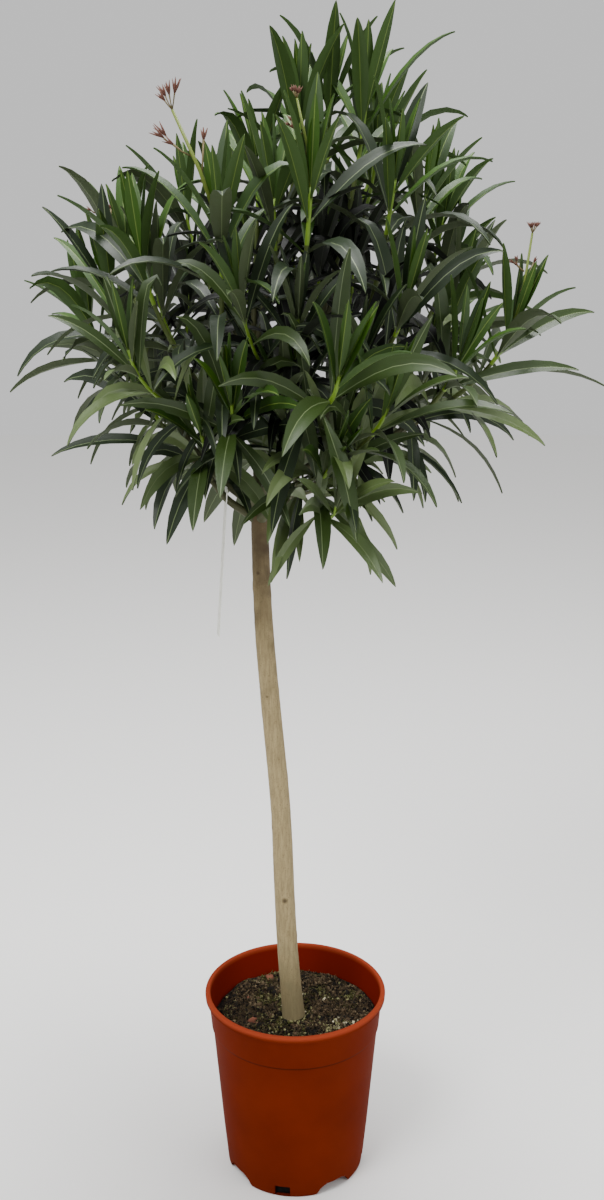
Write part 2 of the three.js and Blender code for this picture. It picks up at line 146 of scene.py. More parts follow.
def meshOf(name, corners, faces, kinds):
    mesh = bpy.data.meshes.new(name)
    mesh.from_pydata(corners, [], faces)
    mesh.polygons.foreach_set("material_index", kinds)
    mesh.update()
    return mesh


# The corners or the edges among what a mesh step gives back.
def cornersIn(items):
    return [item for item in items if isinstance(item, bmesh.types.BMVert)]


def edgesIn(items):
    return [item for item in items if isinstance(item, bmesh.types.BMEdge)]


# Puts a finished mesh into the scene: it rides on the plant and stands for its solids.
def finishPiece(name, mesh, materials, nodes, sharpAngle=None):
    obj = addObject(name, mesh)
    for mat in materials:
        mesh.materials.append(mat)
    mesh.polygons.foreach_set("use_smooth", [True] * len(mesh.polygons))
    if sharpAngle:
        mesh.set_sharp_from_angle(angle=math.radians(sharpAngle))
    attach(obj, "root")
    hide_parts(*nodes)
    return obj


# Many small shapes joined into one mesh: their corners, faces and the material of each face.
class Heap:
    def __init__(self):
        self.corners = []
        self.faces = []
        self.kinds = []
        self.count = 0

    def add(self, corners, faces, kinds):
        self.corners.append(np.asarray(corners, float))
        self.faces.extend([[i + self.count for i in face] for face in faces])
        self.kinds.extend(kinds)
        self.count += len(corners)

    def mesh(self, name):
        return meshOf(name, np.concatenate(self.corners), self.faces, self.kinds)


def unit(vectors):
    return vectors / np.maximum(np.linalg.norm(vectors, axis=-1, keepdims=True), 1e-9)


# A round tapering limb along points, closed at both ends, added to a heap.
def addLimb(heap, points, radii, sides, kinds):
    points = np.asarray(points, float)
    along = unit(np.gradient(points, axis=0))
    side = np.array([0.3, 1, 0.2])
    rings = []
    angles = np.linspace(0, 2 * math.pi, sides, endpoint=False)
    for point, direction, radius in zip(points, along, radii):
        side = side - direction * side.dot(direction)
        side /= np.linalg.norm(side)
        other = np.cross(direction, side)
        ring = np.outer(np.cos(angles), side) + np.outer(np.sin(angles), other)
        rings.append(point + ring * radius)
    steps = len(points) - 1
    faces = []
    faceKinds = []
    for i in range(steps):
        for k in range(sides):
            nextK = (k + 1) % sides
            faces.append([i * sides + k, i * sides + nextK, (i + 1) * sides + nextK, (i + 1) * sides + k])
            faceKinds.append(kinds[i])
    faces.append(list(range(sides))[::-1])
    faces.append([steps * sides + k for k in range(sides)])
    faceKinds += [kinds[0], kinds[-1]]
    heap.add(np.concatenate(rings), faces, faceKinds)


# Injection-moulded polypropylene, dyed through: an even orange-brown with a soft satin shine and a
# very fine grain from the mould. Its paler lip is a painted highlight; its dark ledge line is painted shade.
potSize = {
    "height": 0.236,
    "rimRadius": 0.110,
    "lipHeight": 0.009,
    "lipRound": 0.0032,
    "neckRadius": 0.1065,
    "ledgeDrop": 0.046,
    "ledgeStep": 0.0016,
    "footRadius": 0.0865,
    "footRound": 0.007,
    "wall": 0.002,
    "floorLift": 0.017,
    "floor": 0.0025,
    "footWall": 0.005,
    "segments": 144,
    "archFirst": 34.4,
    "archWidth": 0.034,
    "archHeight": 0.014,
    "archShoulder": 0.006,
    "drainWidth": 0.019,
    "drainSill": 0.0012,
    "drainTop": 0.0155,
    "colour": "5e1900",
    "colourDeep": "581600",
    "colourWorn": "651c01",
    # the paler lip colour is a painted highlight
    "rimHighlightColour": "923a22",
    # the dark line under the ledge is painted shade
    "insideColour": "681303",
    "ledgeShadeColour": "2e0d01",
    "highlightFrom": 0.0065,  # how far under the top the painted highlight on the lip begins
    "highlightFull": 0.0015,
    "roughness": 0.66,
    "specular": 0.03,
}
potLedge = potSize["height"] - potSize["ledgeDrop"]
potSlope = (potSize["neckRadius"] - potSize["footRadius"]) / potSize["height"]


def potWall(height):
    return potSize["footRadius"] + potSlope * height - (potSize["ledgeStep"] if height < potLedge else 0)


def potProfile():
    p = potSize
    ledge = potLedge
    neck = p["height"] - p["lipHeight"]
    top = p["height"]
    rim = p["rimRadius"]
    inner = p["floorLift"] + p["floor"]
    foot = potWall(0)
    outside = []
    for i in range(5):  # the rounded bottom corner
        angle = math.pi / 2 * i / 4
        outside.append((foot - p["footRound"] * 0.4 * (1 - math.sin(angle)),
                        p["footRound"] * (1 - math.cos(angle))))
    outside += [(potWall(0.06), 0.06), (potWall(0.12), 0.12), (potWall(ledge - 0.0022), ledge - 0.0022),
                (potWall(ledge - 0.001) + 0.0003, ledge - 0.0008), (potWall(ledge) - 0.0003, ledge + 0.0004),
                (potWall(ledge), ledge + 0.0014), (potWall(neck - 0.002), neck - 0.002),
                (potWall(neck) + 0.0004, neck - 0.0006), (rim - 0.0011, neck + 0.0006)]
    lip = p["lipRound"]
    for i in range(9):  # the rolled lip
        angle = math.radians(-35 + 125 * i / 8)
        outside.append((rim - lip + lip * math.cos(angle), top - lip + lip * math.sin(angle)))
    outside[-10] = (rim - 0.0003, neck + 0.0018)
    wall = p["wall"]
    inside = [(potWall(top) - wall, top - 0.0006), (potWall(top) - wall - 0.0008, top - 0.002),
              (potWall(ledge) - wall, ledge + 0.001), (potWall(ledge - 0.002) - wall, ledge - 0.002),
              (potWall(inner + 0.003) - wall, inner + 0.003), (potWall(inner) - wall - 0.003, inner),
              (0, inner), (0, p["floorLift"]), (foot - p["footWall"] - 0.004, p["floorLift"]),
              (foot - p["footWall"] - 0.0032, 0.001), (foot - p["footWall"] - 0.0026, 0)]
    return outside + inside


# A block that is cut out of the foot: an arch with soft shoulders.
def archCutter(bearing):
    width, height, shoulder = [potSize[key] for key in ("archWidth", "archHeight", "archShoulder")]
    bm = bmesh.new()
    outline = [(-width / 2 - shoulder * 1.4, -0.01), (-width / 2 - shoulder * 1.2, 0)]
    for i in range(1, 8):
        t = i / 8
        ease = t * t * (3 - 2 * t)
        outline.append((-width / 2 - shoulder + 2 * shoulder * ease, height * (1 - (1 - t) ** 2)))
    outline.append((-width / 2 + shoulder, height))
    outline += [(-x, z) for x, z in reversed(outline)]
    corners = [bm.verts.new((0.05, x, z)) for x, z in outline]
    face = bm.faces.new(corners)
    grown = bmesh.ops.extrude_face_region(bm, geom=[face])
    bmesh.ops.translate(bm, verts=cornersIn(grown["geom"]), vec=(0.05, 0, 0))
    bmesh.ops.remove_doubles(bm, verts=bm.verts, dist=1e-6)
    bmesh.ops.rotate(bm, verts=bm.verts, matrix=Matrix.Rotation(math.radians(bearing), 3, "Z"))
    bmesh.ops.recalc_face_normals(bm, faces=bm.faces)
    return bm


# A block that cuts a square window through the foot.
def drainCutter(bearing):
    p = potSize
    bm = bmesh.new()
    bmesh.ops.create_cube(bm, size=1)
    bmesh.ops.scale(bm, verts=bm.verts, vec=(0.05, p["drainWidth"], p["drainTop"] - p["drainSill"]))
    bmesh.ops.translate(bm, verts=bm.verts, vec=(0.085, 0, (p["drainTop"] + p["drainSill"]) / 2))
    bmesh.ops.rotate(bm, verts=bm.verts, matrix=Matrix.Rotation(math.radians(bearing), 3, "Z"))
    return bm


def makePot():
    p = potSize
    bm = bmesh.new()
    profile = [bm.verts.new((x, 0, z)) for x, z in potProfile()]
    edges = [bm.edges.new(pair) for pair in zip(profile, profile[1:] + profile[:1])]
    bmesh.ops.spin(bm, geom=profile + edges, cent=(0, 0, 0), axis=(0, 0, 1), angle=2 * math.pi,
                   steps=p["segments"], use_merge=True)
    bmesh.ops.remove_doubles(bm, verts=bm.verts, dist=1e-6)
    bmesh.ops.recalc_face_normals(bm, faces=bm.faces)
    body = addObject("potBlank", meshFrom(bm, "pot"))
    cutters = []
    for i in range(4):
        bearing = p["archFirst"] + 90 * i
        for shape in (archCutter(bearing), drainCutter(bearing + 45)):
            cutters.append(addObject("cutter", meshFrom(shape, "cutter")))
            cut = body.modifiers.new("cut", "BOOLEAN")
            cut.operation = "DIFFERENCE"
            cut.solver = "EXACT"
            cut.object = cutters[-1]
    result = bpy.data.meshes.new_from_object(body.evaluated_get(bpy.context.evaluated_depsgraph_get()))
    result.name = "potMoulded"
    for used in cutters + [body]:
        bpy.data.objects.remove(used)
    return result


def potPlastic():
    p = potSize
    mat, tree, shader, place = newMaterial("mouldedPolypropylene", p["colour"], p["roughness"], p["specular"])
    cloud = noiseNode(tree, place, 14, 4, 0.55)  # faint clouds about 7 cm across
    colour = colourRamp(tree, [(0.3, p["colourDeep"]), (0.55, p["colour"]), (0.8, p["colourWorn"])], cloud)
    height = addNode(tree, "ShaderNodeSeparateXYZ", None, {0: place}).outputs["Z"]
    flat = addNode(tree, "ShaderNodeVectorMath", {"operation": "MULTIPLY", 1: (1, 1, 0)}, {0: place})
    away = addNode(tree, "ShaderNodeVectorMath", {"operation": "LENGTH"}, {0: flat.outputs[0]})
    taper = mathNode(tree, "MULTIPLY_ADD", {1: -potSlope}, {0: height, 2: away.outputs["Value"]})
    wallFoot = p["footRadius"] - p["wall"]
    inner = rangeNode(tree, taper, wallFoot + 0.0012, wallFoot + 0.0004)
    aboveLedge = mathNode(tree, "GREATER_THAN", {1: potLedge + 0.001}, {0: height})
    inside = mathNode(tree, "MULTIPLY", {}, {0: inner, 1: aboveLedge})
    colour = overlay(tree, inside, colour, p["insideColour"])  # redder inside, from light off the far wall
    lipHighlight = rangeNode(tree, height, p["height"] - p["highlightFrom"], p["height"] - p["highlightFull"], 0, 0.9)
    colour = overlay(tree, lipHighlight, colour, p["rimHighlightColour"])  # painted highlight on the lip
    offLedge = mathNode(tree, "SUBTRACT", {1: potLedge - 0.0006}, {0: height})
    fromLedge = mathNode(tree, "ABSOLUTE", {}, {0: offLedge})
    ledgeShade = rangeNode(tree, fromLedge, 0.0005, 0.0017, 0.8, 0)
    colour = overlay(tree, ledgeShade, colour, p["ledgeShadeColour"])  # painted shade under the ledge
    tree.links.new(colour, shader.inputs["Base Color"])
    grain = noiseNode(tree, place, 900, 3)  # about 1 mm
    gloss = rangeNode(tree, grain, 0, 1, p["roughness"] - 0.06, p["roughness"] + 0.12)
    tree.links.new(gloss, shader.inputs["Roughness"])
    addBump(tree, shader, grain, 0.06, 0.0004)
    return mat


finishPiece("pot", makePot(), [potPlastic()], ["pot"], sharpAngle=35)
print("pot made")

# Peat and wood fibre, moist and dark, with mossy crumbs, a little bark and white perlite.
soilSize = {
    "top": 0.200,
    "edge": 0.0994,
    "bottom": 0.0198,
    "rings": 34,
    "segments": 128,
    "unevenness": 0.0062,
    "mound": 0.0034,  # round the stem
    "moundReach": 0.030,
    "heaped": 0.0030,  # fuller at the back
    "hollow": -0.0004,
    "crumbs": 5400,
    "crumbSize": (0.0006, 0.0022),
    "plug": (0.008, 0.030, 0.016),  # the mix behind each window of the foot, painted near black as shade
    "plugOut": 0.0745,
    "lumps": 90,
    "lumpSize": (0.0022, 0.0044),
    "fibres": 4200,
    "fibreReach": (0.0025, 0.008),
    "perlite": 110,
    "lichen": 150,
    "seed": 61,
    "stemClear": 0.0142,
    "perliteSpot": (0.060, -0.027),
    "lichenSpot": (0.046, -0.032),
    "whiteBits": [(0.037, 0.028, 0.0022), (0.041, 0.030, 0.0018), (0.035, 0.024, 0.0016)],
    "barkBits": [(-0.052, -0.014, 0.0048), (-0.033, 0.077, 0.0045), (-0.047, -0.018, 0.0032),
                 (-0.060, 0.030, 0.0030)],
    "stemMoss": 300,
    "colours": {"peat": "120e08", "brown": "51422f", "moss": "46461f", "mossPale": "8b885e",
                "perlite": "d8d0ae", "bark": "80503e", "fibre": "75654c"},
    "bedLow": "17120c",
    # near black: painted shade on the mix seen through the windows of the foot
    "shadedMix": "080604",
}
# The place of each colour in the list above.
peat, brown, moss, mossPale, perlite, bark, fibre = range(7)
fullTurn = 6.28  # radians
stemFoot = (-0.002, -0.007)


def soilHeight(x, y):
    swell = noise.noise(Vector((x * 38, y * 38, 1.7))) * 0.9
    swell += noise.noise(Vector((x * 90, y * 90, 4.1))) * 0.5
    rough = noise.noise(Vector((x * 260, y * 260, 9.3))) * 0.32
    away = math.hypot(x - stemFoot[0], y - stemFoot[1])
    mound = soilSize["mound"] * math.exp(-((away / soilSize["moundReach"]) ** 2))
    heaped = soilSize["heaped"] * math.tanh((x * 0.35 + y) / 0.05)
    rim = -0.003 * max(0.0, (math.hypot(x, y) - 0.082) / 0.0175)
    return soilSize["top"] + soilSize["unevenness"] * 0.6 * (swell + rough) + mound + heaped + rim


def makeSoilBed():
    s = soilSize
    bm = bmesh.new()
    bmesh.ops.create_circle(bm, cap_ends=True, segments=s["segments"], radius=s["edge"])
    bmesh.ops.translate(bm, verts=bm.verts, vec=(0, 0, s["top"]))
    middle = bm.faces[:]
    outerEdges = bm.edges[:]
    for _ in range(s["rings"]):
        inset = s["edge"] / (s["rings"] + 1.5)
        bmesh.ops.inset_region(bm, faces=middle, thickness=inset, use_even_offset=False)
    for v in bm.verts:
        v.co.z = soilHeight(v.co.x, v.co.y)
    side = bmesh.ops.extrude_edge_only(bm, edges=outerEdges)["geom"]
    for v in cornersIn(side):
        away = math.hypot(v.co.x, v.co.y)
        inner = potWall(s["bottom"]) - potSize["wall"] - 0.0007
        v.co = (v.co.x * inner / away, v.co.y * inner / away, s["bottom"])
    bmesh.ops.contextual_create(bm, geom=edgesIn(side))
    for i in range(4):  # mix packed behind the windows of the foot, painted near black as shade
        made = bmesh.ops.create_cube(bm, size=1)["verts"]
        bmesh.ops.scale(bm, verts=made, vec=s["plug"])
        bmesh.ops.translate(bm, verts=made, vec=(s["plugOut"], 0, s["plug"][2] / 2 + 0.0006))
        turn = Matrix.Rotation(math.radians(potSize["archFirst"] + 45 + 90 * i), 3, "Z")
        bmesh.ops.rotate(bm, verts=made, matrix=turn)
        for face in {f for v in made for f in v.link_faces}:
            face.material_index = 1
    bmesh.ops.recalc_face_normals(bm, faces=bm.faces)
    return meshFrom(bm, "soilBed")


def crumbShape(subdivisions):
    bm = bmesh.new()
    bmesh.ops.create_icosphere(bm, subdivisions=subdivisions, radius=1)
    corners = np.array([v.co[:] for v in bm.verts])
    faces = [[v.index for v in f.verts] for f in bm.faces]
    bm.free()
    return corners, faces


# Where moss has grown over the mix: above 0 there is some, near 1 it is thick.
def mossAt(x, y):
    patches = noise.noise(Vector((x * 40 + 3, y * 40, 7.7)))
    tufts = noise.noise(Vector((x * 130, y * 130, 2.2)))
    return 1.6 * patches + 0.5 * tufts


# Which colour lies at a place: dark peat in the hollows, moss where it is damp at the front left, and
# dry brown crumbs toward the back right.
def kindAt(x, y, rng):
    green = mossAt(x, y) - 4 * (0.8 * x + 0.6 * y) + 0.3 * rng.standard_normal()
    hollow = soilSize["top"] + soilSize["hollow"] + 0.001 * rng.standard_normal()
    if soilHeight(x, y) < hollow and rng.random() < 0.7:
        return peat
    if green > 0.12:
        return moss if rng.random() < 0.68 else mossPale
    if green > -0.12 or rng.random() < 0.35:
        return peat
    return brown if rng.random() < 0.6 else fibre


def somewhereOnSoil(rng, spread=1.0):
    away = (soilSize["edge"] - 0.002) * math.sqrt(rng.random()) * spread
    turn = rng.random() * 2 * math.pi
    return away * math.cos(turn), away * math.sin(turn)


def scatterCrumbs():
    s = soilSize
    rng = np.random.default_rng(s["seed"])
    heap = Heap()
    small = crumbShape(1)
    large = crumbShape(2)

    def addCrumb(x, y, size, kind, crumb, flat=1.0):
        shape, faces = crumb
        if math.hypot(x - stemFoot[0], y - stemFoot[1]) < s["stemClear"] + size * 0.5:
            return
        if math.hypot(x, y) > s["edge"] - size * 1.2:
            return
        spin = Matrix.Rotation(rng.random() * fullTurn, 3, Vector(rng.normal(size=3)).normalized())
        stretch = np.array([1, 0.6 + 0.5 * rng.random(), (0.5 + 0.5 * rng.random()) * flat])
        lumps = 1 + 0.28 * rng.standard_normal((len(shape), 1)).clip(-1.4, 1.4)
        corners = (shape * lumps * stretch * size) @ np.array(spin)
        corners += np.array([x, y, soilHeight(x, y) + size * 0.25])
        heap.add(corners, faces, [kind] * len(faces))

    def sizeIn(low, high):
        return low + (high - low) * rng.random() ** 2

    for _ in range(s["lumps"]):
        x, y = somewhereOnSoil(rng)
        addCrumb(x, y, sizeIn(*s["lumpSize"]), peat if rng.random() < 0.6 else brown, large)
    for _ in range(s["crumbs"]):
        x, y = somewhereOnSoil(rng)
        addCrumb(x, y, sizeIn(*s["crumbSize"]), kindAt(x, y, rng), small)
    for _ in range(s["perlite"]):  # most of it lies in one cluster
        spotX, spotY = s["perliteSpot"]
        near = spotX + 0.008 * rng.standard_normal(), spotY + 0.007 * rng.standard_normal()
        x, y = near if rng.random() < 0.8 else somewhereOnSoil(rng)
        addCrumb(x, y, sizeIn(0.0007, 0.0019), perlite, large)
    for _ in range(s["lichen"]):
        spotX, spotY = s["lichenSpot"]
        x, y = spotX + 0.010 * rng.standard_normal(), spotY + 0.008 * rng.standard_normal()
        addCrumb(x, y, sizeIn(0.0008, 0.0020), mossPale, small)
    for x, y, size in s["whiteBits"]:
        addCrumb(x, y, size, perlite, large)
    for x, y, size in s["barkBits"]:
        addCrumb(x, y, size, bark, large, flat=0.45)
    for _ in range(s["stemMoss"]):  # moss creeps up round the foot of the stem
        turn = rng.random() * fullTurn
        away = 0.0145 + 0.014 * rng.random() ** 1.6
        x, y = stemFoot[0] + away * math.cos(turn), stemFoot[1] + away * math.sin(turn)
        addCrumb(x, y, sizeIn(0.0007, 0.0018), moss if rng.random() < 0.7 else mossPale, small)
    return heap


# Strands of moss and wood fibre, each bent over the crumbs.
def scatterFibres():
    s = soilSize
    rng = np.random.default_rng(s["seed"] + 1)
    heap = Heap()
    low, high = s["fibreReach"]
    for _ in range(s["fibres"]):
        x, y = somewhereOnSoil(rng, 0.98)
        turn = rng.random() * fullTurn
        reach = low + (high - low) * rng.random() ** 1.5
        fromStem = math.hypot(x - stemFoot[0], y - stemFoot[1])
        if fromStem < 0.0150 + reach or math.hypot(x, y) + reach > s["edge"]:
            continue
        kind = max(brown, kindAt(x, y, rng))
        lift = 0.0006 + 0.0032 * rng.random() ** 2
        points = []
        for t in (0, 0.5, 1):
            alongX = x + reach * t * math.cos(turn + t * 0.9)
            alongY = y + reach * t * math.sin(turn + t * 0.9)
            arch = lift * math.sin(math.pi * min(t, 0.8))
            points.append((alongX, alongY, soilHeight(alongX, alongY) + 0.0009 + arch))
        addLimb(heap, points, [0.00034, 0.00030, 0.00012], 3, [kind] * 2)
    return heap


# Crumbly earth: dull and rough, with grains of the given size.
def earthMaterial(name, colour, roughness, grain):
    mat, tree, shader, place = newMaterial(name, colour, roughness, 0.3)
    addBump(tree, shader, noiseNode(tree, place, 1 / grain, 5, 0.7), 0.7, grain)
    return mat, tree, shader, place


# The bed under the crumbs, clouded from dark peat to brown and moss green.
def soilBedMaterial():
    colours = soilSize["colours"]
    mat, tree, shader, place = earthMaterial("moistPottingMix", colours["peat"], 0.9, 0.0016)
    patch = noiseNode(tree, place, 42, 6, 0.7)  # patches about 24 mm across
    stops = [(0.36, soilSize["bedLow"]), (0.48, colours["peat"]), (0.58, colours["brown"]),
             (0.68, colours["moss"])]
    tree.links.new(colourRamp(tree, stops, patch), shader.inputs["Base Color"])
    return mat


# the mix in the foot is painted near black, as shade
shadedMix = earthMaterial("shadedMixInTheFoot", soilSize["shadedMix"], 0.95, 0.0012)[0]
finishPiece("soilBed", makeSoilBed(), [soilBedMaterial(), shadedMix], ["soil"])
crumbMaterials = [earthMaterial(name + "Crumbs", colour, 0.92, 0.0008)[0]
                  for name, colour in soilSize["colours"].items()]
finishPiece("soilCrumbs", scatterCrumbs().mesh("soilCrumbs"), crumbMaterials, ["soil"])
finishPiece("soilFibres", scatterFibres().mesh("soilFibres"), crumbMaterials, ["soil"])
print("potting mix made")

# Young oleander bark: thin, smooth and beige-grey, with fine lengthwise streaks, small corky
# pores and healed scars where side shoots were cut off. It browns where it is younger, near the head.
stemSize = {
    "line": [(-0.002, -0.007, 0.200), (-0.0096, -0.006, 0.299), (-0.0176, -0.004, 0.483),
             (-0.0282, -0.003, 0.607), (-0.0353, -0.002, 0.702), (-0.0385, -0.001, 0.800),
             (-0.040, 0, 0.852)],
    "footRadius": 0.0142,
    "flare": 0.018,
    "lowRadius": 0.0132,
    "topRadius": 0.0092,
    "scarTurn": 0.011,  # the radius that turns a scar's bearing into a distance around
    "sides": 40,
    "rings": 250,
    "relief": 0.00028,
    "swelling": 0.00055,
    "pores": 0.0007,
    "scarRim": 0.0012,
    "scarHollow": 0.0011,
    "scars": [(0.575, 218, 0.0046), (0.453, 220, 0.0050), (0.362, 276, 0.0048), (0.617, 286, 0.0026),
              (0.745, 185, 0.0045), (0.762, 259, 0.0030), (0.52, 80, 0.0046), (0.41, 130, 0.0045),
              (0.67, 60, 0.0042), (0.31, 20, 0.0038)],  # height, bearing and size of each
    "colours": {"pale": "a09069", "beige": "8f7f5b", "grey": "7d6e4e", "foot": "787051", "brown": "3f311e",
                "speck": "a09070", "scar": "3c2d1b"},
}


# A smooth line through points, with the spacing rule of a centripetal Catmull-Rom curve.
def lineThrough(points):
    points = [np.array(p, float) for p in points]

    def at(t):
        place = (len(points) - 1) * min(max(t, 0.0), 1.0)
        index = min(int(place), len(points) - 2)
        weight = place - index
        p1, p2 = points[index], points[index + 1]
        p0 = points[index - 1] if index > 0 else 2 * points[0] - points[1]
        p3 = points[index + 2] if index + 2 < len(points) else 2 * points[-1] - points[-2]
        d0, d1, d2 = [math.sqrt(np.linalg.norm(b - a)) for a, b in ((p0, p1), (p1, p2), (p2, p3))]
        m1 = ((p1 - p0) / d0 - (p2 - p0) / (d0 + d1) + (p2 - p1) / d1) * d1
        m2 = ((p2 - p1) / d1 - (p3 - p1) / (d1 + d2) + (p3 - p2) / d2) * d1
        w = weight
        return p1 + m1 * w + (-3 * p1 + 3 * p2 - 2 * m1 - m2) * w * w + (2 * p1 - 2 * p2 + m1 + m2) * w ** 3
    return at


stemAt = lineThrough(stemSize["line"])
fork = stemAt(1)


def stemRadius(t, height):
    s = stemSize
    flare = (s["footRadius"] - s["lowRadius"]) * math.exp(-(height - soilSize["top"]) / s["flare"])
    return s["lowRadius"] + (s["topRadius"] - s["lowRadius"]) * max(t, 0.0) ** 0.85 + flare


def frameAt(point, along):
    quat = Vector(along).to_track_quat("Z", "Y")
    return Matrix.Translation(Vector(point)) @ quat.to_matrix().to_4x4()


def makeStem():
    s = stemSize
    bm = bmesh.new()
    ring = bmesh.ops.create_circle(bm, cap_ends=True, segments=s["sides"], radius=1)["verts"]
    edges = bm.edges[:]
    here = Matrix.Identity(4)
    ringsDone = []
    for i in range(s["rings"] + 1):
        t = i / s["rings"]
        point = stemAt(t)
        along = unit(stemAt(min(t + 0.004, 1)) - stemAt(max(t - 0.004, 0)))
        if i == 0:
            along = np.array([0, 0, 1.0])
        radius = stemRadius(t, point[2])
        there = frameAt(point, along) @ Matrix.Diagonal((radius, radius, radius, 1))
        if i > 0:
            grown = bmesh.ops.extrude_edge_only(bm, edges=edges)["geom"]
            ring = cornersIn(grown)
            edges = edgesIn(grown)
        bmesh.ops.transform(bm, matrix=there @ here.inverted(), verts=ring)
        here = there
        ringsDone.append((ring, point))
    bmesh.ops.contextual_create(bm, geom=edges)
    for ring, point in ringsDone:
        for v in ring:
            out = (v.co - Vector(point)).normalized()
            v.co += out * barkRelief(v.co, out)
    bmesh.ops.recalc_face_normals(bm, faces=bm.faces)
    return meshFrom(bm, "stem")


# How far the bark stands out at a point: gentle swellings, fine ridges and the rims of old scars.
def barkRelief(place, out):
    s = stemSize
    x, y, z = place
    swell = noise.noise(Vector((x * 30, y * 30, z * 14))) * s["swelling"]
    ridge = noise.noise(Vector((x * 420, y * 420, z * 70))) * s["relief"]
    pores = max(0.0, noise.noise(Vector((x * 700, y * 700, z * 420))) - 0.35) * s["pores"]
    scars = 0.0
    for height, bearing, size in s["scars"]:
        aim = Vector((math.cos(math.radians(bearing)), math.sin(math.radians(bearing)), 0))
        around = math.acos(max(-1.0, min(1.0, out.dot(aim)))) * s["scarTurn"]
        away = math.hypot(around, z - height) / size
        scars += s["scarRim"] * math.exp(-(away * 1.1) ** 2) - s["scarHollow"] * math.exp(-(away * 2.6) ** 2)
    return swell + ridge + pores + scars


# Streaked bark, mossy green at the foot, brown near the head, with a dark spot on each scar.
def barkMaterial():
    s = stemSize
    colours = s["colours"]
    mat, tree, shader, place = newMaterial("youngOleanderBark", colours["beige"], 0.82, 0.35)
    streaked = addNode(tree, "ShaderNodeMapping", {"Scale": (1, 1, 0.16)}, {"Vector": place})
    streaks = noiseNode(tree, streaked.outputs["Vector"], 330, 5, 0.65)  # ridges about 3 mm apart
    stops = [(0.3, colours["grey"]), (0.47, colours["beige"]), (0.68, colours["pale"])]
    colour = colourRamp(tree, stops, streaks)
    specks = rangeNode(tree, noiseNode(tree, place, 620, 3, 0.8), 0.58, 0.7)
    colour = overlay(tree, specks, colour, colours["speck"], "MULTIPLY")
    height = addNode(tree, "ShaderNodeSeparateXYZ", None, {0: place}).outputs["Z"]
    wavy = mathNode(tree, "MULTIPLY_ADD", {1: 0.22}, {0: noiseNode(tree, place, 34, 3), 2: height})
    colour = overlay(tree, rangeNode(tree, wavy, 0.32, 0.42, 0.7, 0.0), colour, colours["foot"])
    colour = overlay(tree, rangeNode(tree, wavy, 0.74, 0.93), colour, colours["brown"])
    low, high = s["line"][0][2], s["line"][-1][2]
    for scarHeight, bearing, size in s["scars"]:
        t = (scarHeight - low) / (high - low)
        middle = stemAt(t)
        reach = stemRadius(t, scarHeight)
        angle = math.radians(bearing)
        spot = (middle[0] + reach * math.cos(angle), middle[1] + reach * math.sin(angle), scarHeight)
        away = addNode(tree, "ShaderNodeVectorMath", {"operation": "DISTANCE", 1: spot}, {0: place})
        mask = rangeNode(tree, away.outputs["Value"], size * 0.35, size * 0.95, 0.85, 0.0)
        colour = overlay(tree, mask, colour, colours["scar"])
    tree.links.new(colour, shader.inputs["Base Color"])
    addBump(tree, shader, streaks, 0.5, 0.0006)
    return mat


finishPiece("stem", makeStem(), [barkMaterial()], ["stem"])
print("stem made")

